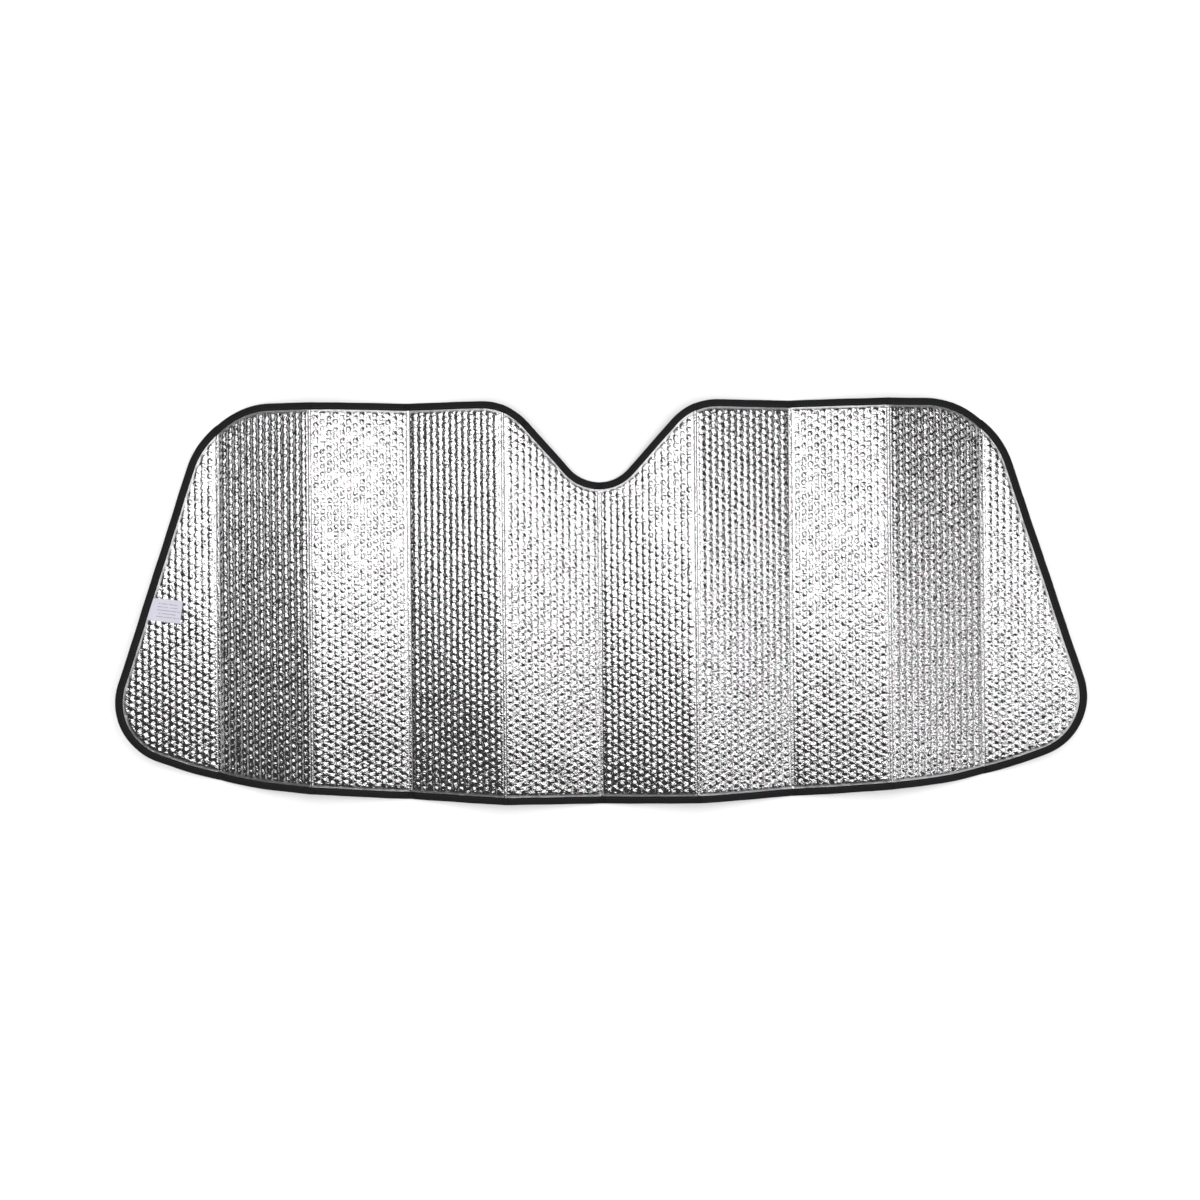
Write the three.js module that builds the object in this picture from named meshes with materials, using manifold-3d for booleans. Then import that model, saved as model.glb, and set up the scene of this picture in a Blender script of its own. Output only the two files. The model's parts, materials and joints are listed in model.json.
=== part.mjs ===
// Folding windscreen sunshade: ten pleats of silver bubble laminate with a black tape sewn round the edge.
// It lies silver face up on its valley creases, +X across the windscreen, +Y towards the mirror notch, +Z up.
import * as THREE from 'three';
import { mergeVertices } from 'three/addons/utils/BufferGeometryUtils.js';
import Module from 'manifold-3d';

const wasm = await Module();
wasm.setup();

// Driving dimensions, in millimetres
const flatWidth = 1450; // opened flat, over the tape
const panelCount = 10;
const creaseSpacing = 144; // the two end panels run on past this, to the edge
const pleatTilt = THREE.MathUtils.degToRad(9); // each panel leans this far from level as it lies
const creaseGap = 1.5; // each panel stops this far short of its crease line

const foil = 0.4; // thickness of one metallised skin
const core = 2.0; // thickness of the bubble film between the skins
const gap = 0.3; // clearance between pieces that touch
const tape = 0.7; // thickness of the edge tape
const tapeWidth = 11; // what shows of the tape on each face
const webWidth = 2; // crushed strip that is the living hinge
const webThickness = 0.5;
const foldClearance = 0.5; // from the tape to the hinge axis, so that closed pleats don't rub

const labelSize = { length: 60, height: 34, thickness: 0.4 };
const labelPlace = { fromPanelCentre: -9.8, aboveBottom: 287.8, turn: THREE.MathUtils.degToRad(-9.3) };

// Worked out from them
const skinTop = core / 2 + gap + foil; // laminate's face, from its mid-plane
const tapeTop = skinTop + gap + tape;
const hingeOffset = tapeTop + foldClearance;
const cosTilt = Math.cos(pleatTilt);
const sinTilt = Math.sin(pleatTilt);
const pleatPitch = creaseSpacing * cosTilt + 2 * hingeOffset * sinTilt;
const panelHeight = (creaseSpacing / 2 - creaseGap) * sinTilt + tapeTop * cosTilt; // mid-plane above the floor
const creaseRise = (creaseSpacing / 2) * sinTilt - hingeOffset * cosTilt; // hinge axis above or below that

// Right half of the edge, as the corners of its straight runs: across, up from the bottom, and corner radius
const notchApex = { x: 0, y: 450, radius: 60 };
const lowerCentre = { x: 0, y: -20.9, radius: 4650 };
const rightCorners = [
  { x: 135, y: 600, radius: 93 }, // shoulder of the notch
  { x: 590, y: 600, radius: 135 }, // top corner
  { x: 747, y: 98.5, radius: 94 }, // lower corner
  { x: 567, y: 30, radius: 540 }, // where the sweep up to the lower corner begins
];
const leftCorners = rightCorners.map((corner) => ({ ...corner, x: -corner.x })).reverse();
const corners = [notchApex, ...rightCorners, lowerCentre, ...leftCorners];
const arcSegments = 6; // half the straight pieces that each rounded corner is drawn with

const materials = {
  frontFoil: { color: 0xd4d4d8, roughness: 0.25, metalness: 1 },
  bubbleFilm: { color: 0xc4c8cc, roughness: 0.4, metalness: 0.1 },
  backFoil: { color: 0xc8c8cc, roughness: 0.35, metalness: 1 },
  creaseFilm: { color: 0xb4b4b8, roughness: 0.4, metalness: 1 },
  edgeTape: { color: 0x1c1c1e, roughness: 0.8, metalness: 0 },
  label: { color: 0xd6d4e0, roughness: 0.7, metalness: 0 },
};

// The circle that rounds a corner, and the stretch of it that is used
function cornerArc(corner, index) {
  const point = new THREE.Vector2(corner.x, corner.y);
  const before = corners[(index + corners.length - 1) % corners.length];
  const after = corners[(index + 1) % corners.length];
  const back = new THREE.Vector2(before.x, before.y).sub(point).normalize();
  const ahead = new THREE.Vector2(after.x, after.y).sub(point).normalize();
  const halfAngle = Math.acos(back.dot(ahead)) / 2;
  const inward = back.clone().add(ahead).normalize();
  const centre = point.clone().addScaledVector(inward, corner.radius / Math.sin(halfAngle));
  const touch = corner.radius / Math.tan(halfAngle);
  const start = point.clone().addScaledVector(back, touch).sub(centre);
  const end = point.clone().addScaledVector(ahead, touch).sub(centre);
  const clockwise = start.cross(end) < 0;
  return { centre, radius: corner.radius, from: start.angle(), to: end.angle(), clockwise };
}

const arcs = corners.map(cornerArc);

// The edge moved inwards: every corner keeps its centre, and only its radius changes
function edgeShape(inset) {
  const shape = new THREE.Shape();
  for (const arc of arcs) {
    const radius = arc.radius + (arc.clockwise ? -inset : inset);
    shape.absarc(arc.centre.x, arc.centre.y, radius, arc.from, arc.to, arc.clockwise);
  }
  shape.closePath();
  return shape;
}

const outlineBox = new THREE.Box2().setFromPoints(edgeShape(0).getPoints(arcSegments));
const outlineMiddle = outlineBox.getCenter(new THREE.Vector2()).y;

function toSolid(geometry) {
  const bare = geometry.clone();
  bare.deleteAttribute('normal');
  bare.deleteAttribute('uv');
  const merged = mergeVertices(bare);
  return new wasm.Manifold(new wasm.Mesh({
    numProp: 3,
    vertProperties: new Float32Array(merged.attributes.position.array),
    triVerts: new Uint32Array(merged.index.array),
  }));
}

function toGeometry(solid) {
  const mesh = solid.getMesh();
  const geometry = new THREE.BufferGeometry();
  geometry.setAttribute('position', new THREE.BufferAttribute(mesh.vertProperties, mesh.numProp));
  geometry.setIndex(new THREE.BufferAttribute(mesh.triVerts, 1));
  geometry.computeVertexNormals();
  return geometry;
}

// A layer of the opened-out shade, level and centred on the origin
function sheet(inset, low, high) {
  const geometry = new THREE.ExtrudeGeometry(edgeShape(inset), {
    depth: high - low,
    bevelEnabled: false,
    curveSegments: arcSegments,
  });
  return toSolid(geometry.translate(0, -outlineMiddle, low));
}

function box(width, depth, height, x, y, z, turn = 0) {
  return toSolid(new THREE.BoxGeometry(width, depth, height).rotateZ(turn).translate(x, y, z));
}

const tall = 2 * flatWidth; // larger than the shade every way

const layers = {
  front_foil: { solid: sheet(tape + gap, core / 2 + gap, skinTop), material: 'frontFoil' },
  bubble_core: { solid: sheet(tape + gap, -core / 2, core / 2), material: 'bubbleFilm' },
  back_foil: { solid: sheet(tape + gap, -skinTop, -core / 2 - gap), material: 'backFoil' },
};

// Tape folded over the laminate's edge, as a channel that is open on its inner side
const edgeTape = sheet(0, -tapeTop, tapeTop)
  .subtract(sheet(tape, -tapeTop + tape, tapeTop - tape))
  .subtract(sheet(tapeWidth, -tall, tall));

const panelMiddle = (index) => (index - (panelCount - 1) / 2) * creaseSpacing;

// The stretch of a layer that one panel holds, moved so that the middle between its creases is at the origin
function panelPiece(solid, index, halfPlane = null) {
  const middle = panelMiddle(index);
  const left = index === 0 ? -tall : middle - creaseSpacing / 2 + creaseGap;
  const right = index === panelCount - 1 ? tall : middle + creaseSpacing / 2 - creaseGap;
  const strip = box(right - left, tall, tall, (left + right) / 2, 0, 0);
  let piece = solid.intersect(strip);
  if (halfPlane) piece = piece.intersect(halfPlane);
  return toGeometry(piece.translate([-middle, 0, 0]));
}

function namedMesh(name, geometry, material) {
  const mesh = new THREE.Mesh(geometry, new THREE.MeshStandardMaterial(materials[material]));
  mesh.name = name;
  return mesh;
}

const twoDigits = (number) => String(number).padStart(2, '0');

function makePanel(index) {
  const panel = new THREE.Group();
  const number = twoDigits(index + 1);
  for (const [layer, { solid, material }] of Object.entries(layers)) {
    panel.add(namedMesh(`panel_${number}_${layer}`, panelPiece(solid, index), material));
  }
  const isEnd = index === 0 || index === panelCount - 1;
  if (isEnd) {
    const side = index === 0 ? 'left' : 'right';
    panel.add(namedMesh(`edge_tape_${side}_end`, panelPiece(edgeTape, index), 'edgeTape'));
  } else {
    const upper = box(tall, tall, tall, 0, tall / 2, 0);
    const lower = box(tall, tall, tall, 0, -tall / 2, 0);
    panel.add(namedMesh(`edge_tape_top_${number}`, panelPiece(edgeTape, index, upper), 'edgeTape'));
    panel.add(namedMesh(`edge_tape_bottom_${number}`, panelPiece(edgeTape, index, lower), 'edgeTape'));
  }
  const fallsToRight = index % 2 === 0;
  panel.rotation.y = fallsToRight ? pleatTilt : -pleatTilt;
  panel.position.set((index - (panelCount - 1) / 2) * pleatPitch, 0, panelHeight);
  return panel;
}

// Crushed laminate on the hinge axis, at the inside of the fold
function makeCrease(number) {
  const isValley = number % 2 === 1;
  const middle = (number - panelCount / 2) * creaseSpacing;
  const strip = box(webWidth, tall, tall, middle, 0, 0);
  const web = sheet(tape + gap, -webThickness / 2, webThickness / 2).intersect(strip).translate([-middle, 0, 0]);
  const mesh = namedMesh(`crease_web_${number}`, toGeometry(web), 'creaseFilm');
  const height = panelHeight + (isValley ? -creaseRise : creaseRise);
  mesh.position.set((number - panelCount / 2) * pleatPitch, 0, height);
  return mesh;
}

// Care label sewn in under the tape of the left end panel
function makeLabel() {
  const { length, height, thickness } = labelSize;
  const middle = panelMiddle(0);
  const x = middle + labelPlace.fromPanelCentre;
  const y = labelPlace.aboveBottom - outlineMiddle;
  const blank = box(length, height, tall, x, y, 0, labelPlace.turn);
  const low = skinTop + gap;
  const label = sheet(tapeWidth + gap, low, low + thickness).intersect(blank).translate([-middle, 0, 0]);
  return namedMesh('care_label', toGeometry(label), 'label');
}

const sunshade = new THREE.Group();
const panels = Array.from({ length: panelCount }, (_, index) => makePanel(index));
panels[0].add(makeLabel());
sunshade.add(...panels);
for (let number = 1; number < panelCount; number += 1) {
  sunshade.add(makeCrease(number));
}

export default sunshade;
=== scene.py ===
import json
import math

import bmesh
import bpy
import numpy as np
from mathutils import Matrix, Vector


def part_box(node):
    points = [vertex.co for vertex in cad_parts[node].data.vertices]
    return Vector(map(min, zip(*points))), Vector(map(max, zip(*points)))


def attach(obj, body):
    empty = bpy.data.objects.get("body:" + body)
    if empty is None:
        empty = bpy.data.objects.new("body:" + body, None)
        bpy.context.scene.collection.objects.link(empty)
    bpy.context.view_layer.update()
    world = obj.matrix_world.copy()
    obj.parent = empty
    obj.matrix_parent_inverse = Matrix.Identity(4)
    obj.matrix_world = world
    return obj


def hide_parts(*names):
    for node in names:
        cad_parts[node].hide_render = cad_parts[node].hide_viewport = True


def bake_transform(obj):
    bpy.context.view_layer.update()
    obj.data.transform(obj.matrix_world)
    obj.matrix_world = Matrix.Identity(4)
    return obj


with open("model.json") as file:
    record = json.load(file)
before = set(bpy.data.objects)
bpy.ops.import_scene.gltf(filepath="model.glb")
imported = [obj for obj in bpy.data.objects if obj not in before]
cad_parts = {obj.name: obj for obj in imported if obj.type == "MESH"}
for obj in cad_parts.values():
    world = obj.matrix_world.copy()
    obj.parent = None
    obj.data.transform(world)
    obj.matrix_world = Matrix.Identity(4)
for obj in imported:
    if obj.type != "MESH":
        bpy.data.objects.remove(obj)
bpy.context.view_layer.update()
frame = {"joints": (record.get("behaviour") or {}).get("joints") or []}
mm = 0.001

# How the shade is folded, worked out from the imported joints
centreJoint = next(joint for joint in frame["joints"] if joint["name"] == "centre_crease_right")
lean = -math.radians(centreJoint["range_deg"][0])  # each panel leans this far from level
creaseAxes = sorted({tuple(joint["pos_m"]) for joint in frame["joints"]})  # left to right
panelCount = len(creaseAxes) + 1
pitch = creaseAxes[1][0] - creaseAxes[0][0]
middleHeight = (creaseAxes[0][2] + creaseAxes[1][2]) / 2
rise = (creaseAxes[1][2] - creaseAxes[0][2]) / 2
creaseSpacing = pitch * math.cos(lean) + 2 * rise * math.sin(lean)
hingeOffset = (pitch - creaseSpacing * math.cos(lean)) / (2 * math.sin(lean))
creaseGap = 1.5 * mm  # panels stop this far short of a crease line

# The edge of the opened-out shade: corners of its straight runs as across, up and corner radius
edgeTop = 0.600
widestCorner = (0.747, 0.0985, 0.094)
rightCorners = [
    (0.135, edgeTop, 0.093),  # shoulder of the notch
    (0.590, edgeTop, 0.135),  # top corner
    widestCorner,
    (0.567, 0.030, 0.540),  # start of the sweep up to it
]
notchApex = (0, 0.450, 0.060)
lowerCentre = (0, -0.0209, 4.650)
edgeCorners = [
    notchApex,
    *rightCorners,
    lowerCentre,
    *[(-across, up, radius) for across, up, radius in reversed(rightCorners)],
]


def cornerArc(index):
    across, up, radius = edgeCorners[index]
    corner = Vector((across, up))
    back = (Vector(edgeCorners[index - 1][:2]) - corner).normalized()
    ahead = (Vector(edgeCorners[(index + 1) % len(edgeCorners)][:2]) - corner).normalized()
    halfAngle = back.angle(ahead) / 2
    centre = corner + (back + ahead).normalized() * radius / math.sin(halfAngle)
    touch = radius / math.tan(halfAngle)
    start = corner + back * touch
    end = corner + ahead * touch
    turn = (start - centre).angle_signed(end - centre)  # clockwise is positive
    return {"centre": centre, "radius": radius, "start": start, "end": end, "turn": -turn}


arcs = [cornerArc(index) for index in range(len(edgeCorners))]
lowerArc = arcs[edgeCorners.index(lowerCentre)]
edgeBottom = lowerArc["centre"].y - lowerArc["radius"]
flatMiddle = (edgeTop + edgeBottom) / 2
flatDepth = edgeTop - edgeBottom
widestArc = arcs[edgeCorners.index(widestCorner)]
flatWidth = 2 * (widestArc["centre"].x + widestArc["radius"])
margin = 10 * mm  # grids start this far outside the edge, and what is beyond it is cut away
halfWidth, halfDepth = flatWidth / 2 + margin, flatDepth / 2 + margin
for arc in arcs:
    for key in ("centre", "start", "end"):
        arc[key].y -= flatMiddle


arcSlack = 0.002  # radians that an arc reaches past its ends, so that no point falls between runs


def edgePlace(x, y):
    # distance inside the edge, distance along it, and the inward direction there
    best = np.full(x.shape, 1e3)
    inside, along = np.zeros(x.shape), np.zeros(x.shape)
    inX, inY = np.zeros(x.shape), np.zeros(x.shape)
    travelled = 0.0

    def keep(onRun, signed, place, directionX, directionY):
        better = onRun & (np.abs(signed) < best)
        best[better] = np.abs(signed[better])
        inside[better] = signed[better]
        along[better] = place[better]
        inX[better] = directionX[better]
        inY[better] = directionY[better]

    for index, arc in enumerate(arcs):
        relX, relY = x - arc["centre"].x, y - arc["centre"].y
        reach = np.hypot(relX, relY) + 1e-12
        first = math.atan2(arc["start"].y - arc["centre"].y, arc["start"].x - arc["centre"].x)
        way = math.copysign(1, arc["turn"])
        swept = np.mod((np.arctan2(relY, relX) - first) * way + 0.1, 2 * math.pi) - 0.1
        onArc = (swept > -arcSlack) & (swept < abs(arc["turn"]) + arcSlack)
        signed = (reach - arc["radius"]) * way  # a clockwise corner has its centre inside
        place = travelled + swept * arc["radius"]
        keep(onArc, signed, place, relX / reach * way, relY / reach * way)
        travelled += abs(arc["turn"]) * arc["radius"]
        following = arcs[(index + 1) % len(arcs)]
        run = following["start"] - arc["end"]
        length = run.length
        step = run / length
        offX, offY = x - arc["end"].x, y - arc["end"].y
        forward = offX * step.x + offY * step.y
        signed = offX * step.y - offY * step.x
        flat = np.ones(x.shape)
        onRun = (forward >= 0) & (forward <= length)
        keep(onRun, signed, travelled + forward, flat * step.y, flat * -step.x)
        travelled += length
    return inside, along, inX, inY, travelled


def smooth(value):
    value = np.clip(value, 0, 1)
    return value * value * (3 - 2 * value)


def panelBody(index):
    return f"panel_{index + 1:02d}"


def panelLean(index):
    return lean if index % 2 == 0 else -lean


def panelMatrix(index):
    fromMiddle = index - (panelCount - 1) / 2
    return (
        Matrix.Translation((fromMiddle * pitch, 0, middleHeight))
        @ Matrix.Rotation(panelLean(index), 4, "Y")
        @ Matrix.Translation((-fromMiddle * creaseSpacing, 0, 0))
    )


def creaseLine(number):
    return (number - panelCount / 2) * creaseSpacing


def bendOverCrease(mesh, number):
    # the opened-out strip is turned about the crease's axis, from one panel's lean to the other's
    isValley = number % 2 == 1
    axisX, _, axisZ = creaseAxes[number - 1]
    points = meshPoints(mesh)
    across = points[:, 0] - creaseLine(number)
    below = points[:, 2] - (hingeOffset if isValley else -hingeOffset)
    share = smooth((across + creaseGap) / (2 * creaseGap))
    angle = panelLean(number - 1) * (1 - share) + panelLean(number) * share
    points[:, 0] = axisX + across * np.cos(angle) + below * np.sin(angle)
    points[:, 2] = axisZ - across * np.sin(angle) + below * np.cos(angle)
    setPoints(mesh, points)


def meshPoints(mesh):
    flat = np.zeros(len(mesh.vertices) * 3)
    mesh.vertices.foreach_get("co", flat)
    return flat.reshape(-1, 3)


def setPoints(mesh, points):
    mesh.vertices.foreach_set("co", points.astype(np.float32).ravel())
    mesh.update()


def newMesh(bm, name):
    mesh = bpy.data.meshes.new(name)
    bm.to_mesh(mesh)
    bm.free()
    return mesh


def addPiece(mesh, name, material, isSmooth=True):
    mesh.name = name
    mesh.materials.append(material)
    mesh.polygons.foreach_set("use_smooth", [isSmooth] * len(mesh.polygons))
    piece = bpy.data.objects.new(name, mesh)
    bpy.context.scene.collection.objects.link(piece)
    return piece


def setAttribute(mesh, name, values):
    attribute = mesh.attributes.new(name, "FLOAT", "POINT")
    attribute.data.foreach_set("value", np.asarray(values, np.float32))


def cutAcross(bm, x, keepRight=None):
    geometry = bm.verts[:] + bm.edges[:] + bm.faces[:]
    bmesh.ops.bisect_plane(
        bm, geom=geometry, dist=1e-7, plane_co=(x, 0, 0), plane_no=(1, 0, 0),
        clear_inner=keepRight is True, clear_outer=keepRight is False,
    )


def cutOutside(bm):
    points = np.array([vert.co for vert in bm.verts])
    inside = edgePlace(points[:, 0], points[:, 1])[0]
    outside = [vert for vert, depth in zip(bm.verts, inside) if depth < bubbles["hiddenEdge"]]
    bmesh.ops.delete(bm, geom=outside, context="VERTS")


def openEdges(bm):
    return [edge for edge in bm.edges if len(edge.link_faces) == 1]


# Shader maths

class Signal:
    def __init__(self, nodes, socket):
        self.nodes = nodes
        self.socket = socket

    def maths(self, operation, first, second=None):
        inputs = {0: first} if second is None else {0: first, 1: second}
        return self.nodes.node("ShaderNodeMath", {"operation": operation}, inputs)

    def __add__(self, other):
        return self.maths("ADD", self, other)

    def __radd__(self, other):
        return self.maths("ADD", other, self)

    def __sub__(self, other):
        return self.maths("SUBTRACT", self, other)

    def __rsub__(self, other):
        return self.maths("SUBTRACT", other, self)

    def __mul__(self, other):
        return self.maths("MULTIPLY", self, other)

    def __rmul__(self, other):
        return self.maths("MULTIPLY", other, self)

    def __gt__(self, other):
        return self.maths("GREATER_THAN", self, other)

    def __lt__(self, other):
        return self.maths("LESS_THAN", self, other)

    def sine(self):
        return self.maths("SINE", self)

    def size(self):
        return self.maths("ABSOLUTE", self)

    def fraction(self):
        return self.maths("FRACT", self)

    def clamped(self):
        return self.nodes.node("ShaderNodeClamp", {}, {"Value": self})

    def rise(self, low, high):
        # 0 below low, 1 above high, smooth between
        inputs = {"Value": self, "From Min": low, "From Max": high}
        return self.nodes.node("ShaderNodeMapRange", {"interpolation_type": "SMOOTHSTEP"}, inputs)

    def within(self, low, high, soft):
        return self.rise(low - soft, low + soft) * (1 - self.rise(high - soft, high + soft))


class Nodes:
    def __init__(self, tree):
        self.tree = tree

    def node(self, kind, settings=None, inputs=None, output=0):
        made = self.tree.nodes.new(kind)
        for key, value in (settings or {}).items():
            setattr(made, key, value)
        for key, value in (inputs or {}).items():
            if isinstance(value, Signal):
                self.tree.links.new(value.socket, made.inputs[key])
            else:
                made.inputs[key].default_value = value
        return Signal(self, made.outputs[output])

    def parts(self, vector):
        firstPart = self.node("ShaderNodeSeparateXYZ", {}, {0: vector})
        return [Signal(self, socket) for socket in firstPart.socket.node.outputs]

    def grey(self, value):
        return self.node("ShaderNodeCombineColor", {}, {0: value, 1: value, 2: value})

    def mixColour(self, share, first, second):
        return self.node("ShaderNodeMix", {"data_type": "RGBA"}, {0: share, 6: first, 7: second}, 2)


class Shader(Nodes):
    def __init__(self, name, **surface):
        self.material = bpy.data.materials.new(name)
        self.material.use_nodes = True
        super().__init__(self.material.node_tree)
        self.surface = self.tree.nodes["Principled BSDF"]
        for socket, value in surface.items():
            self.surface.inputs[socket.replace("_", " ")].default_value = value

    def objectPoint(self):
        return self.node("ShaderNodeTexCoord", {}, {}, "Object")

    def noise(self, scale, detail=2.0, roughness=0.5):
        inputs = {"Vector": self.objectPoint(), "Scale": scale, "Detail": detail, "Roughness": roughness}
        return self.node("ShaderNodeTexNoise", {}, inputs)

    def attribute(self, name):
        return self.node("ShaderNodeAttribute", {"attribute_name": name}, {}, "Fac")

    def uv(self, name):
        return self.parts(self.node("ShaderNodeUVMap", {"uv_map": name}))[:2]

    def bump(self, height, distance, normal=None):
        inputs = {"Height": height, "Distance": distance}
        if normal:
            inputs["Normal"] = normal
        return self.node("ShaderNodeBump", {}, inputs)

    def feed(self, socket, signal):
        self.tree.links.new(signal.socket, self.surface.inputs[socket])


frontFoilLook = {
    "silver": (0.88, 0.87, 0.88, 1),
    "pinkSilver": (0.87, 0.79, 0.83, 1),
    "greenSilver": (0.75, 0.81, 0.79, 1),
    "roughness": 0.04,
    "handledRoughness": 0.05,  # added in patches
    "pressedRoughness": 0.30,  # added beside the tape, where the film is sewn flat
    "foldScale": 300,  # folds of the film, per metre
    "foldDepth": 0.8 * mm,
    "grainScale": 1300,
    "grainDepth": 0.05 * mm,
}
backFilmLook = {
    **frontFoilLook,
    "silver": (0.46, 0.46, 0.48, 1),
    "pinkSilver": (0.45, 0.43, 0.45, 1),
    "greenSilver": (0.42, 0.44, 0.44, 1),
    "roughness": 0.16,
    "foldDepth": 0.5 * mm,
}


def foilMaterial(name, look):
    shader = Shader(name, Metallic=1.0)
    pressed = shader.attribute("pressed")
    warmth = shader.noise(260, 2, 0.6)
    tinted = shader.mixColour(warmth.rise(0.52, 0.72), look["silver"], look["pinkSilver"])
    shader.feed("Base Color", shader.mixColour(warmth.rise(0.46, 0.28), tinted, look["greenSilver"]))
    handled = shader.noise(190, 3, 0.6) * look["handledRoughness"]
    shader.feed("Roughness", look["roughness"] + handled + pressed * look["pressedRoughness"])
    folds = (shader.noise(look["foldScale"], 1, 0.5) - 0.5).size()
    grain = shader.noise(look["grainScale"], 2, 0.5)
    coarse = shader.bump(folds, look["foldDepth"])
    shader.feed("Normal", shader.bump(grain, look["grainDepth"], coarse))
    return shader.material


tapeLook = {
    "colour": (0.004, 0.004, 0.0045, 1),
    # lighter colour: painted light on the rib tops, and random fibre tone where the fuzz is high
    "worn": (0.011, 0.011, 0.012, 1),
    "ribPitch": 0.85 * mm,  # cross ribs of the weave
    "cordPitch": 0.60 * mm,
}


def tapeMaterial():
    look = tapeLook
    shader = Shader("woven_edge_tape", Specular_IOR_Level=0.14, Sheen_Weight=0.04, Sheen_Roughness=0.4)
    along, across = shader.uv("tapePlace")
    ribs = (along * (math.pi / look["ribPitch"])).sine().size()
    cords = (across * (math.pi / look["cordPitch"])).sine().size()
    weave = ribs * 0.7 + cords * 0.3
    fuzz = shader.noise(900, 3, 0.6)
    # the weave is painted darker in the gaps between ribs as painted shade and lighter on the rib tops as
    # painted light; the fuzz adds random fibre tone
    shade = (weave * 0.5 + fuzz * 0.5).clamped()
    shader.feed("Base Color", shader.mixColour(shade, look["colour"], look["worn"]))
    shader.feed("Roughness", 0.50 + fuzz * 0.25)
    shader.feed("Normal", shader.bump(weave + fuzz * 0.5, 0.12 * mm))
    return shader.material


def threadMaterial():
    shader = Shader("black_thread", Roughness=0.5, Specular_IOR_Level=0.3, Sheen_Weight=0.08)
    twist = shader.noise(1800, 2, 0.5)
    shader.feed("Base Color", shader.mixColour(twist, (0.008, 0.008, 0.009, 1), (0.030, 0.030, 0.034, 1)))
    shader.feed("Normal", shader.bump(twist, 0.05 * mm))
    return shader.material


labelLook = {
    "length": 51 * mm,
    "height": 34 * mm,
    "cloth": (0.53, 0.515, 0.59, 1),
    "print": (0.27, 0.26, 0.31, 1),
    "lines": 7,
    "lineShare": 0.13,  # half of a line's height, as a share of the row
    "printStrength": 0.9,
    "turn": math.radians(-7.6),
    "shift": (-1.5 * mm, 6 * mm),  # from the middle of the label's solid
    "gridSteps": (60, 34),
    "thickness": 0.18 * mm,
    "sewnHeight": 0.60 * mm,  # under the tape, from the laminate's middle
    "clearance": 0.45 * mm,  # over the bubbles
    "curl": 0.7 * mm,  # at its free upper corner
}


def labelMaterial():
    look = labelLook
    shader = Shader("care_label_cloth", Roughness=0.6, Sheen_Weight=0.15)
    along, up = shader.uv("labelPlace")
    row = up * look["lines"]
    inLine = ((row.fraction() - 0.5).size() < look["lineShare"]) * (up > 0.1) * (up < 0.9)
    wobble = shader.noise(260, 1, 0.5)
    lineEnd = 0.42 + 0.1 * ((row - row.fraction()) * 2.4).sine() + wobble * 0.05
    inBlock = ((along - 0.60).size() < lineEnd * 0.72) * (along > 0.30)
    broken = shader.noise(420, 2, 0.5) > 0.43
    printed = inLine * inBlock * broken * look["printStrength"]
    shader.feed("Base Color", shader.mixColour(printed, look["cloth"], look["print"]))
    weave = (along * (math.pi * 120)).sine().size() + (up * (math.pi * 70)).sine().size()
    shader.feed("Normal", shader.bump(weave, 0.05 * mm))
    return shader.material


silverFoil = foilMaterial("silver_bubble_foil", frontFoilLook)
backFoil = foilMaterial("silver_back_film", backFilmLook)
wovenTape = tapeMaterial()
blackThread = threadMaterial()
labelCloth = labelMaterial()
print("materials made")


# Bubble laminate

bubbles = {
    "pitch": 11.1 * mm,
    "radius": 5.6 * mm,
    "height": 0.80 * mm,
    "columnRidge": 0.27 * mm,  # the skin bridges from bubble to bubble up each column
    "crinkle": 0.30 * mm,  # of the film
    "crinkleSize": 1.9 * mm,
    "backShare": 0.5,  # the back skin shows this much of the front's relief
    "frontGrid": (6, 8),  # faces across a column of bubbles, and along one pitch
    "backGrid": (4, 4),
    "film": 1.0 * mm,  # film between the bubbles, from the laminate's middle
    "floor": 0.03 * mm,  # underside of each skin, from the laminate's middle
    "pinched": 0.5 * mm,  # where it is sewn or creased flat
    "hiddenEdge": 4 * mm,  # laminate ends this far inside the tape's outer edge
    "tapeWidth": 11 * mm,
    "edgeFlat": 1.4 * mm,  # flat film that shows beside the tape
    "edgeRise": 4.6 * mm,  # from there to bubbles of full height
    "creaseFlat": 1.0 * mm,
    "creaseRise": 2.6 * mm,
    "edgeBubbles": 0.10 * mm,  # height that is left of the bubbles in that flat film
    "swellStart": 8 * mm,  # slow waves begin this far inside the edge
    "swellRise": 60 * mm,  # and are full this much further in
    "dented": 0.90,  # bubbles whose draw is over this have a dented top
    "seed": 11,
}
columnStep = bubbles["pitch"] * math.sqrt(3) / 2
random = np.random.default_rng(bubbles["seed"])
tableSize = 256
bubbleHeights = 1 - 0.28 * random.random((tableSize, tableSize)) ** 2
bubbleTiltX = random.normal(0, 0.10, (tableSize, tableSize))
bubbleTiltY = random.normal(0, 0.10, (tableSize, tableSize))
bubbleDents = random.random((tableSize, tableSize))
crinkleHeights = random.uniform(-1, 1, (tableSize, tableSize))
panelWaves = random.uniform(0, 2 * math.pi, (panelCount, 6))

creasing = {
    "pleat": 0.20 * mm,
    "pleatPitch": 3.8 * mm,
    "pleatsFull": 2 * mm,  # pleats keep their height this far from the crease
    "pleatsFade": 5 * mm,  # and die out over this much more
    "stepAlong": 1.6 * mm,
    "columns": 8,
    "blendReach": 1.7 * mm,
}


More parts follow.
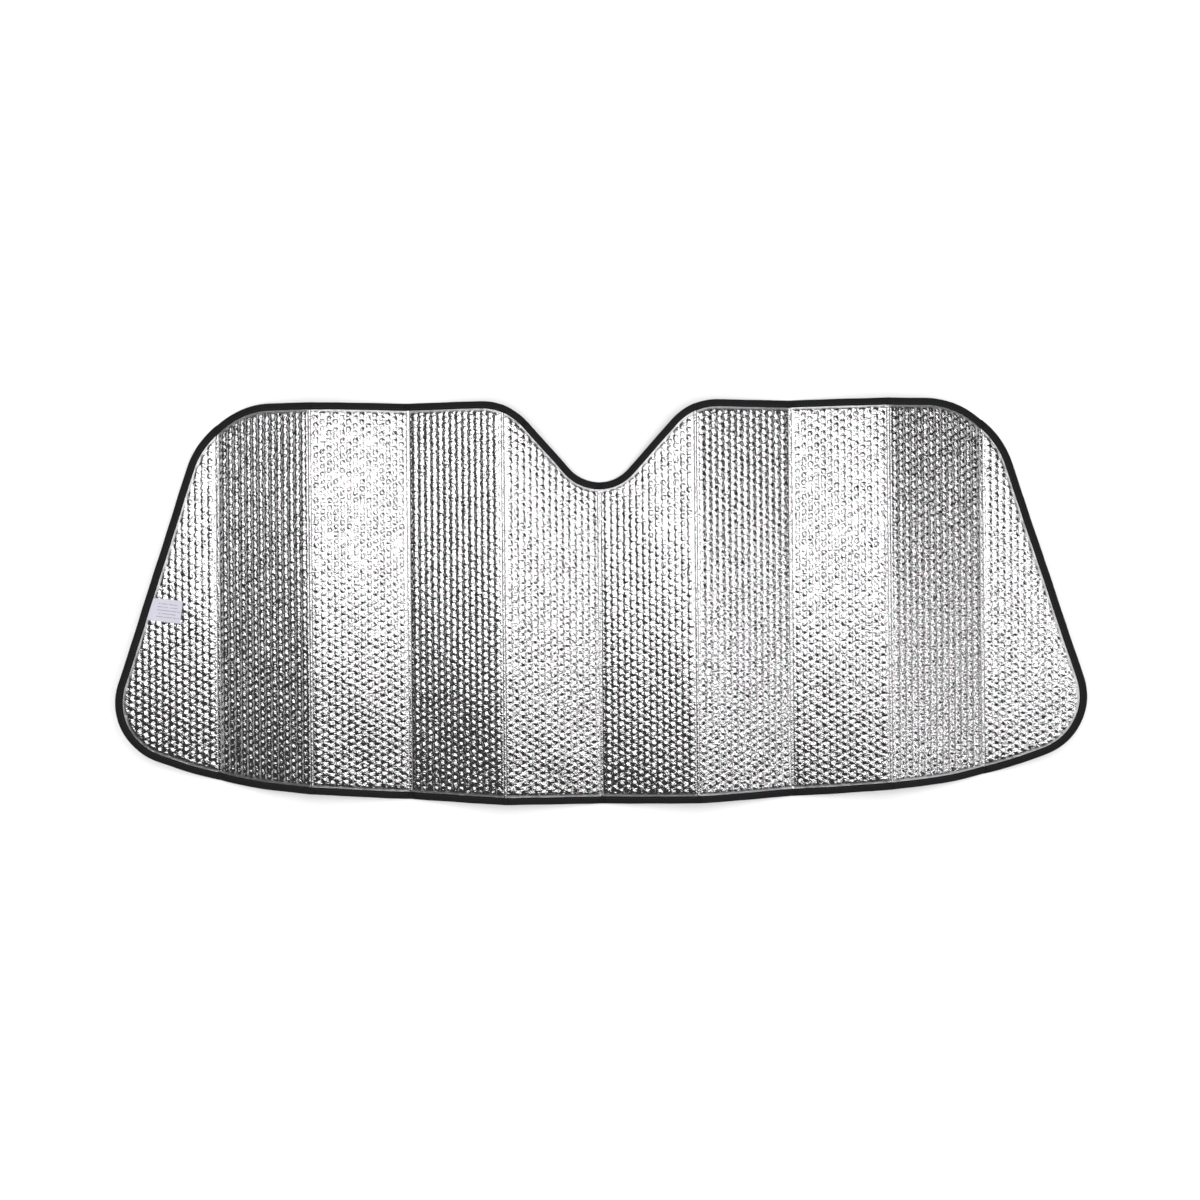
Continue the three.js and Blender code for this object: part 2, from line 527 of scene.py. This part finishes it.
def domes(x, y):
    # height of the bubble at each point, 0 to 1
    p = bubbles["pitch"]
    best = np.full(x.shape, 1e3)
    column, row = np.zeros(x.shape, int), np.zeros(x.shape, int)
    offX, offY = np.zeros(x.shape), np.zeros(x.shape)
    firstColumn = np.floor(x / columnStep).astype(int)
    for candidate in (firstColumn, firstColumn + 1):
        shift = 0.5 * (candidate % 2)
        nearestRow = np.round(y / p - shift).astype(int)
        dx, dy = x - candidate * columnStep, y - (nearestRow + shift) * p
        distance = np.hypot(dx, dy)
        better = distance < best
        best[better] = distance[better]
        column[better], row[better] = candidate[better], nearestRow[better]
        offX[better], offY[better] = dx[better], dy[better]
    cell = (column % tableSize, row % tableSize)
    share = np.clip(best / bubbles["radius"], 0, 1)
    profile = (1 - share**2.2) ** 1.7
    lop = 1 + (bubbleTiltX[cell] * offX + bubbleTiltY[cell] * offY) / bubbles["radius"]
    dent = np.where(bubbleDents[cell] > bubbles["dented"], 0.55 * np.exp(-(share**2) * 6), 0)
    return profile * bubbleHeights[cell] * lop - dent * profile


def crinkle(x, y):
    # creasing of the thin film, -1 to 1
    alongX, alongY = x / bubbles["crinkleSize"], y / bubbles["crinkleSize"]
    cellX, cellY = np.floor(alongX).astype(int), np.floor(alongY).astype(int)
    shareX, shareY = smooth(alongX - cellX), smooth(alongY - cellY)

    def alongRow(rowY):
        left = crinkleHeights[cellX % tableSize, rowY % tableSize]
        right = crinkleHeights[(cellX + 1) % tableSize, rowY % tableSize]
        return left * (1 - shareX) + right * shareX

    return alongRow(cellY) * (1 - shareY) + alongRow(cellY + 1) * shareY


def panelSwell(index, x, y, inside):
    # slow waves that keep a panel from being a mirror, and die out at the tape
    a, b, c, d = panelWaves[index][:4]
    across = (x - (index - (panelCount - 1) / 2) * creaseSpacing) / creaseSpacing
    wave = 0.35 * np.sin(2.2 * across + 14 * y + a) + 0.25 * np.sin(5.0 * across - 9 * y + b)
    wave += 0.18 * np.sin(9.0 * across + 22 * y + c) + 0.12 * np.sin(31 * y + 4 * across + d)
    bow = np.cos(math.pi * np.clip(across, -0.5, 0.5))
    return wave * bow * mm * smooth((inside - bubbles["swellStart"]) / bubbles["swellRise"])


def creasePleats(toCrease, y):
    # fine folds that run beside a crease
    wander = 0.25 * np.sin(y * 90) + 0.2 * np.sin(y * 231 + 1)
    return creasing["pleat"] * np.cos(toCrease * 2 * math.pi / creasing["pleatPitch"] + wander)


def laminateHeight(index, x, y, inside, isFront):
    # height of the skin from the laminate's middle, and how far it is pressed flat beside the tape
    toCrease = np.minimum(
        np.abs(x - creaseLine(index)) if index > 0 else np.full(x.shape, 1.0),
        np.abs(x - creaseLine(index + 1)) if index < panelCount - 1 else np.full(x.shape, 1.0),
    )
    openCrease = smooth((toCrease - bubbles["creaseFlat"]) / bubbles["creaseRise"])
    openEdge = smooth((inside - bubbles["tapeWidth"] - bubbles["edgeFlat"]) / bubbles["edgeRise"])
    full = openCrease * openEdge
    fade = 1 - smooth((toCrease - creasing["pleatsFull"]) / creasing["pleatsFade"])
    pleats = creasePleats(toCrease, y) * fade * openEdge
    base = bubbles["pinched"] + (bubbles["film"] - bubbles["pinched"]) * full
    share = 1 if isFront else bubbles["backShare"]
    relief, ridge, wrinkle = [bubbles[key] * share for key in ("height", "columnRidge", "crinkle")]
    bridging = ridge * np.cos(x * 2 * math.pi / columnStep)
    height = base + (relief * domes(x, y) + bridging) * full + pleats
    height += bubbles["edgeBubbles"] * domes(x, y) * (1 - openEdge)
    loose = smooth((toCrease - creaseGap) / (1.0 * mm)) * smooth((inside - 8 * mm) / (3 * mm))
    height += crinkle(x, y) * wrinkle * loose * (0.35 + 0.65 * openEdge)
    return height, 1 - openEdge


def faceGrid(index, left, right, isFront):
    # a level grid over one panel, in step with the bubbles, cut at the creases
    fineX, fineY = bubbles["frontGrid" if isFront else "backGrid"]
    stepX, stepY = columnStep / fineX, bubbles["pitch"] / fineY
    firstColumn = math.floor(left / stepX) - 1
    columns = math.ceil(right / stepX) + 1 - firstColumn
    firstRow = math.floor(-halfDepth / stepY)
    rows = math.ceil(halfDepth / stepY) - firstRow
    centre = Vector(((firstColumn + columns / 2) * stepX, (firstRow + rows / 2) * stepY, 0))
    size = Matrix.Diagonal((columns * stepX, rows * stepY, 1, 1))
    bm = bmesh.new()
    bmesh.ops.create_grid(
        bm, x_segments=columns, y_segments=rows, size=0.5, matrix=Matrix.Translation(centre) @ size
    )
    if index > 0:
        cutAcross(bm, left, keepRight=True)
    if index < panelCount - 1:
        cutAcross(bm, right, keepRight=False)
    return bm


def trimToTape(bm, left, right):
    # the laminate ends inside the tape, with its rim moved onto that line
    cutOutside(bm)
    rim = {vert for edge in openEdges(bm) for vert in edge.verts}
    points = np.array([vert.co for vert in bm.verts])
    inside, _, inX, inY, _ = edgePlace(points[:, 0], points[:, 1])
    for vert, depth, wayX, wayY in zip(bm.verts, inside, inX, inY):
        if vert in rim and depth < bubbles["tapeWidth"]:
            vert.co.x = min(max(vert.co.x - wayX * (depth - bubbles["hiddenEdge"]), left), right)
            vert.co.y -= wayY * (depth - bubbles["hiddenEdge"])


def closeUnderneath(bm):
    # a flat underside, so that the skin is a closed body; returns which vertices are on it
    grown = bmesh.ops.extrude_edge_only(bm, edges=openEdges(bm))["geom"]
    floorEdges = [item for item in grown if isinstance(item, bmesh.types.BMEdge) and item.is_boundary]
    floorVerts = {vert for edge in floorEdges for vert in edge.verts}
    bmesh.ops.holes_fill(bm, edges=floorEdges, sides=0)
    bm.verts.index_update()
    isFloor = np.array([vert in floorVerts for vert in bm.verts])
    bmesh.ops.recalc_face_normals(bm, faces=bm.faces[:])
    return isFloor


def makeFace(index, isFront):
    left = creaseLine(index) + creaseGap if index > 0 else -halfWidth
    right = creaseLine(index + 1) - creaseGap if index < panelCount - 1 else halfWidth
    bm = faceGrid(index, left, right, isFront)
    trimToTape(bm, left, right)
    flatArea = sum(face.calc_area() for face in bm.faces)
    isFloor = closeUnderneath(bm)
    mesh = newMesh(bm, "face")
    points = meshPoints(mesh)
    x, y = points[:, 0], points[:, 1]
    inside = edgePlace(x, y)[0]
    height, pressed = laminateHeight(index, x, y, inside, isFront)
    swell = panelSwell(index, x, y, inside)
    points[:, 2] = np.where(isFloor, bubbles["floor"], height) * (1 if isFront else -1) + swell
    setPoints(mesh, points)
    setAttribute(mesh, "pressed", pressed)
    if not isFront:
        mesh.flip_normals()
    mesh.transform(panelMatrix(index))
    number = f"{index + 1:02d}"
    if isFront:
        piece = addPiece(mesh, f"panel_{number}_silver_face", silverFoil)
        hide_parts(f"panel_{number}_front_foil", f"panel_{number}_bubble_core")
    else:
        piece = addPiece(mesh, f"panel_{number}_back_face", backFoil)
        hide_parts(f"panel_{number}_back_foil")
    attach(piece, panelBody(index))
    width = min(right, flatWidth / 2) - max(left, -flatWidth / 2)
    min(flatArea, width * flatDepth)
    return piece


silverFaces = [makeFace(index, True) for index in range(panelCount)]
backFaces = [makeFace(index, False) for index in range(panelCount)]
print("laminate made", sum(len(piece.data.polygons) for piece in silverFaces + backFaces))


def blendAcross(piece, number, half):
    # a panel's end leans; here the piece's placement is only baked into its mesh, and the reach points
    # beside the axis are not used
    axisX, _, axisZ = creaseAxes[number - 1]
    reach = creasing["blendReach"]
    left, middle, right = (axisX - reach, 0, axisZ), (axisX, 0, axisZ), (axisX + reach, 0, axisZ)
    if half == "left":
        panelBody(number - 1)
        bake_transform(piece)
    elif half == "right":
        panelBody(number)
        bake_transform(piece)
    else:
        panelBody(number - 1)
        panelBody(number)
        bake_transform(piece)


def creaseSpans():
    # the middle crease hangs on the root body, so it is made in two halves
    for number in range(1, panelCount):
        line = creaseLine(number)
        if number == panelCount // 2:
            yield number, "left", line - creaseGap, line
            yield number, "right", line, line + creaseGap
        else:
            yield number, "", line - creaseGap, line + creaseGap


def makeCreaseFold(number, half, left, right):
    columns = creasing["columns"] // (2 if half else 1)
    rows = round(2 * halfDepth / creasing["stepAlong"])
    bm = bmesh.new()
    middle = Matrix.Translation(((left + right) / 2, 0, -bubbles["pinched"]))
    size = Matrix.Diagonal((right - left, 2 * halfDepth, 1, 1))
    bmesh.ops.create_grid(bm, x_segments=columns, y_segments=rows, size=0.5, matrix=middle @ size)
    cutOutside(bm)
    bmesh.ops.solidify(bm, geom=bm.faces[:], thickness=-2 * bubbles["pinched"])
    bmesh.ops.recalc_face_normals(bm, faces=bm.faces[:])
    mesh = newMesh(bm, "fold")
    points = meshPoints(mesh)
    toCrease = np.abs(points[:, 0] - creaseLine(number))
    ridge = creasePleats(toCrease, points[:, 1])
    loose = smooth((creaseGap - toCrease) / (0.7 * mm))
    ridge += crinkle(points[:, 0], points[:, 1]) * bubbles["crinkle"] * loose
    points[:, 2] += np.sign(points[:, 2]) * ridge
    setPoints(mesh, points)
    setAttribute(mesh, "pressed", np.zeros(len(points)))
    bendOverCrease(mesh, number)
    name = f"crease_{number}_fold" + (f"_{half}" if half else "")
    piece = addPiece(mesh, name, silverFoil)
    if half != "right":
        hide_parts(f"crease_web_{number}")
    blendAcross(piece, number, half)


for span in creaseSpans():
    makeCreaseFold(*span)
print("creases made")


# Edge tape, swept once round the opened-out edge and then cut at the creases

tape = {
    "outerFace": [(11.0, 0.72), (10.9, 1.12), (10.2, 1.42), (9.2, 1.44), (8.4, 1.30), (7.6, 1.46),
                  (5.6, 1.66), (3.4, 1.68), (1.6, 1.42), (0.5, 0.86)],  # inside the edge, up; mm
    "innerFace": [(9.0, 0.66), (5.5, 0.70), (3.0, 0.62)],
    "stepAlong": 8 * mm,
    "stepRound": math.radians(5),
    "wander": 0.35 * mm,  # of the sewn line, in and out
    "waves": (23, 61),  # slow and quick, round the whole edge
}


def tapeProfile():
    upper = tape["outerFace"]
    outer = upper + [(0.0, 0.0)] + [(inside, -up) for inside, up in reversed(upper)]
    lower = tape["innerFace"]
    inner = [(inside, -up) for inside, up in lower] + [(2.4, 0.0)] + list(reversed(lower))
    return [(inside * mm, up * mm) for inside, up in outer + inner]


def sweptTape():
    bm = bmesh.new()
    start = arcs[-1]["end"]
    run = (arcs[0]["start"] - start).normalized()
    inward = Vector((run.y, -run.x))
    ring = []
    for inside, up in tapeProfile():
        place = start + inward * inside
        ring.append(bm.verts.new((place.x, place.y, up)))
    edges = [bm.edges.new((ring[i - 1], ring[i])) for i in range(len(ring))]
    previous = start
    for arc in arcs:
        run = arc["start"] - previous
        steps = max(1, round(run.length / tape["stepAlong"]))
        for _ in range(steps):
            grown = bmesh.ops.extrude_edge_only(bm, edges=edges)["geom"]
            verts = [item for item in grown if isinstance(item, bmesh.types.BMVert)]
            bmesh.ops.translate(bm, verts=verts, vec=(run.x / steps, run.y / steps, 0))
            edges = [item for item in grown if isinstance(item, bmesh.types.BMEdge)]
            edges = [edge for edge in edges if all(vert in verts for vert in edge.verts)]
        verts = list(dict.fromkeys(vert for edge in edges for vert in edge.verts))
        reach = abs(arc["turn"]) * arc["radius"]
        steps = max(3, math.ceil(abs(arc["turn"]) / tape["stepRound"]), round(reach / tape["stepAlong"]))
        spun = bmesh.ops.spin(
            bm, geom=verts + edges, cent=(*arc["centre"], 0), axis=(0, 0, 1), dvec=(0, 0, 0),
            angle=arc["turn"], steps=steps, use_merge=False, use_duplicate=False,
        )["geom_last"]
        edges = [item for item in spun if isinstance(item, bmesh.types.BMEdge)]
        previous = arc["end"]
    bmesh.ops.remove_doubles(bm, verts=bm.verts[:], dist=1e-6)
    bmesh.ops.recalc_face_normals(bm, faces=bm.faces[:])
    return newMesh(bm, "swept_tape")


wholeTape = sweptTape()


def tapePiece(left, right, cuts=0):
    bm = bmesh.new()
    bm.from_mesh(wholeTape)
    if left is not None:
        cutAcross(bm, left, keepRight=True)
    if right is not None:
        cutAcross(bm, right, keepRight=False)
    for step in range(1, cuts):
        cutAcross(bm, left + (right - left) * step / cuts)
    bmesh.ops.holes_fill(bm, edges=openEdges(bm), sides=0)
    mesh = newMesh(bm, "tape")
    points = meshPoints(mesh)
    inside, along, inX, inY, length = edgePlace(points[:, 0], points[:, 1])
    uv = mesh.uv_layers.new(name="tapePlace")
    corner = np.zeros(len(mesh.loops), int)
    mesh.loops.foreach_get("vertex_index", corner)
    both = np.stack([along[corner], inside[corner] * np.sign(points[corner, 2] + 1e-9)], 1)
    uv.data.foreach_set("uv", both.astype(np.float32).ravel())
    slow, quick = [along * 2 * math.pi * count / length for count in tape["waves"]]
    wave = (np.sin(slow) + 0.6 * np.sin(quick + 1)) * (tape["wander"] * 0.5)
    points[:, 0] += inX * wave
    points[:, 1] += inY * wave
    setPoints(mesh, points)
    return mesh


def makeTape(index):
    left = creaseLine(index) + creaseGap if index > 0 else None
    right = creaseLine(index + 1) - creaseGap if index < panelCount - 1 else None
    mesh = tapePiece(left, right)
    mesh.transform(panelMatrix(index))
    number = f"{index + 1:02d}"
    piece = addPiece(mesh, f"panel_{number}_edge_tape", wovenTape)
    if index == 0:
        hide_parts("edge_tape_left_end")
    elif index == panelCount - 1:
        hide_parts("edge_tape_right_end")
    else:
        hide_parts(f"edge_tape_top_{number}", f"edge_tape_bottom_{number}")
    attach(piece, panelBody(index))


for index in range(panelCount):
    makeTape(index)
for number, half, left, right in creaseSpans():
    mesh = tapePiece(left, right, cuts=creasing["columns"] // (2 if half else 1))
    bendOverCrease(mesh, number)
    name = f"crease_{number}_edge_tape" + (f"_{half}" if half else "")
    piece = addPiece(mesh, name, wovenTape)
    blendAcross(piece, number, half)
print("edge tape made")


# Stitches on both faces of the tape

stitching = {
    "inside": 8.4 * mm,
    "pitch": 4.2 * mm,
    "length": 3.0 * mm,
    "width": 0.55 * mm,
    "height": 1.42 * mm,
    "slant": 0.06,
    "flatness": 0.9,
}


def edgePoint(distance):
    # place and direction at a distance along the edge
    for index, arc in enumerate(arcs):
        reach = abs(arc["turn"]) * arc["radius"]
        if distance <= reach:
            spin = Matrix.Rotation(math.copysign(distance / arc["radius"], arc["turn"]), 2)
            offset = spin @ (arc["start"] - arc["centre"])
            way = math.copysign(1, arc["turn"])
            return arc["centre"] + offset, Vector((-offset.y, offset.x)).normalized() * way
        distance -= reach
        following = arcs[(index + 1) % len(arcs)]
        run = following["start"] - arc["end"]
        if distance <= run.length:
            return arc["end"] + run.normalized() * distance, run.normalized()
        distance -= run.length
    return arcs[0]["start"], Vector((1, 0))


edgeLength = edgePlace(np.zeros(1), np.zeros(1))[4]


def makeStitches():
    meshes = [bmesh.new() for _ in range(panelCount)]
    count = round(edgeLength / stitching["pitch"])
    for number in range(count):
        place, run = edgePoint(edgeLength * (number + 0.5) / count)
        place = place + Vector((run.y, -run.x)) * stitching["inside"]
        index = min(panelCount - 1, max(0, math.floor(place.x / creaseSpacing + panelCount / 2)))
        toLeft, toRight = place.x - creaseLine(index), creaseLine(index + 1) - place.x
        clear = creaseGap + stitching["length"] / 2
        if (index > 0 and toLeft < clear) or (index < panelCount - 1 and toRight < clear):
            continue
        turn = Matrix.Rotation(math.atan2(run.y, run.x) + stitching["slant"], 4, "Z")
        thickness = stitching["width"] * stitching["flatness"]
        size = Matrix.Diagonal((stitching["length"], stitching["width"], thickness, 1))
        for side in (1, -1):
            middle = Matrix.Translation((place.x, place.y, side * stitching["height"]))
            bmesh.ops.create_uvsphere(
                meshes[index], u_segments=6, v_segments=5, radius=0.5,
                matrix=middle @ turn @ size @ Matrix.Rotation(math.pi / 2, 4, "Y"),
            )
    for index, bm in enumerate(meshes):
        mesh = newMesh(bm, "stitches")
        mesh.transform(panelMatrix(index))
        piece = addPiece(mesh, f"panel_{index + 1:02d}_stitches", blackThread)
        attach(piece, panelBody(index))


makeStitches()
print("stitches made")


# Care label, caught under the tape at the left end

def makeLabel():
    look = labelLook
    low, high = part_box("care_label")
    middle = Vector(((low.x + high.x) / 2, (low.y + high.y) / 2, middleHeight))
    place = panelMatrix(0).inverted() @ middle
    bm = bmesh.new()
    size = Matrix.Diagonal((look["length"], look["height"], 1, 1))
    columns, rows = look["gridSteps"]
    bmesh.ops.create_grid(bm, x_segments=columns, y_segments=rows, size=0.5, matrix=size)
    mesh = newMesh(bm, "label")
    points = meshPoints(mesh)
    alongLabel = points[:, 0] / look["length"] + 0.5
    upLabel = points[:, 1] / look["height"] + 0.5
    uv = mesh.uv_layers.new(name="labelPlace")
    corner = np.zeros(len(mesh.loops), int)
    mesh.loops.foreach_get("vertex_index", corner)
    both = np.stack([alongLabel[corner], upLabel[corner]], 1)
    uv.data.foreach_set("uv", both.astype(np.float32).ravel())
    moved = Matrix.Translation((place.x + look["shift"][0], place.y + look["shift"][1], 0))
    mesh.transform(moved @ Matrix.Rotation(look["turn"], 4, "Z"))
    points = meshPoints(mesh)
    inside = edgePlace(points[:, 0], points[:, 1])[0]
    free = smooth((inside - 11.5 * mm) / (7 * mm))
    drape = bubbles["film"] + bubbles["height"] * (0.86 + 0.12 * domes(points[:, 0], points[:, 1]))
    lift = look["curl"] * smooth((alongLabel - 0.72) / 0.28) * (0.4 + 0.6 * upLabel)
    points[:, 2] = look["sewnHeight"] * (1 - free) + (drape + look["clearance"] + lift) * free
    points[:, 2] += panelSwell(0, points[:, 0], points[:, 1], inside)
    setPoints(mesh, points)
    mesh.transform(panelMatrix(0))
    piece = addPiece(mesh, "label_under_tape", labelCloth)
    thickness = piece.modifiers.new("thickness", "SOLIDIFY")
    thickness.thickness = look["thickness"]
    thickness.offset = 0
    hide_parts("care_label")
    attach(piece, panelBody(0))


makeLabel()
print("label made")


# Floor, light and camera

studio = {
    "floor": (0.82, 0.82, 0.82, 1),
    "cameraHeight": 1.9,
    "cameraAside": (-0.0005, 0.004),
    "roll": math.radians(-0.47),
    "lens": 18 * 1264.7 / 600,
    "skylight": 2.9,  # whitens the floor, cloth and tape
    "skylightSpread": math.radians(80),
    "diffuserHeight": 1.8,
    "diffuserSize": (6.4, 5.2),
    "diffuserTurn": math.radians(17),
    # bright parts of the diffuser, in metres across and up, seen only in the foil
    "softboxes": [
        {"across": (-1.13, 0.66), "up": (-0.25, 0.80), "soft": 0.10, "glow": 1.9},
        {"across": (0.95, 2.50), "up": (-0.22, 0.38), "soft": 0.12, "glow": 1.7},
    ],
    "surround": 0.035,  # rest of the diffuser
    "walls": 0.75,
    "horizon": 0.40,  # added to the walls, low down
}


def makeFloor():
    bm = bmesh.new()
    bmesh.ops.create_grid(bm, x_segments=1, y_segments=1, size=12)
    shader = Shader("pale_floor", Base_Color=studio["floor"], Roughness=0.9, Specular_IOR_Level=0.0)
    floor = addPiece(newMesh(bm, "floor"), "studio_floor", shader.material, isSmooth=False)


def makeSkylight():
    # kept out of the foil
    light = bpy.data.lights.new("skylight", "SUN")
    light.energy = studio["skylight"]
    light.angle = studio["skylightSpread"]
    lamp = bpy.data.objects.new("skylight", light)
    lamp.rotation_euler = (-0.15, 0.1, 0)
    lamp.visible_glossy = False
    bpy.context.scene.collection.objects.link(lamp)


def makeDiffuser():
    # the foil mirrors this from overhead
    bm = bmesh.new()
    size = Matrix.Diagonal((*studio["diffuserSize"], 1, 1))
    bmesh.ops.create_grid(bm, x_segments=1, y_segments=1, size=0.5, matrix=size)
    shader = Shader("diffuser_glow", Base_Color=(0, 0, 0, 1), Roughness=1, Specular_IOR_Level=0)
    x, y, _ = shader.parts(shader.objectPoint())
    turn = studio["diffuserTurn"]
    across = x * math.cos(turn) - y * math.sin(turn)
    up = y * math.cos(turn) + x * math.sin(turn)
    glow = across * 0 + studio["surround"]
    for box in studio["softboxes"]:
        lit = across.within(*box["across"], box["soft"]) * up.within(*box["up"], box["soft"])
        glow += lit * box["glow"]
    shader.feed("Emission Color", shader.grey(glow))
    shader.surface.inputs["Emission Strength"].default_value = 1
    diffuser = addPiece(newMesh(bm, "diffuser"), "overhead_diffuser", shader.material, isSmooth=False)
    diffuser.location.z = studio["diffuserHeight"]
    diffuser.visible_camera = False
    diffuser.visible_diffuse = False
    diffuser.visible_shadow = False


def makeWorld():
    world = bpy.data.worlds.new("studio")
    world.use_nodes = True
    nodes = Nodes(world.node_tree)
    x, y, z = nodes.parts(nodes.node("ShaderNodeTexCoord", {}, {}, "Generated"))
    panels = 0.55 + 0.45 * (x * 7 + y * 4 + 0.6).sine()  # lit and unlit stretches of wall
    glow = studio["walls"] * panels + studio["horizon"] * z.rise(0.30, 0.02)
    seen = nodes.node("ShaderNodeLightPath", {}, {}, "Is Camera Ray")
    shown = glow * (1 - seen) + seen
    background = world.node_tree.nodes["Background"]
    world.node_tree.links.new(nodes.grey(shown).socket, background.inputs["Color"])
    bpy.context.scene.world = world


def makeCamera():
    camera = bpy.data.cameras.new("camera")
    camera.lens = studio["lens"]
    camera.sensor_width = 36
    viewer = bpy.data.objects.new("camera", camera)
    viewer.location = (*studio["cameraAside"], studio["cameraHeight"])
    viewer.rotation_euler = (0, 0, studio["roll"])
    bpy.context.scene.collection.objects.link(viewer)
    bpy.context.scene.camera = viewer


makeFloor()
makeSkylight()
makeDiffuser()
makeWorld()
makeCamera()
bpy.context.scene.view_settings.view_transform = "Standard"
print("studio made")
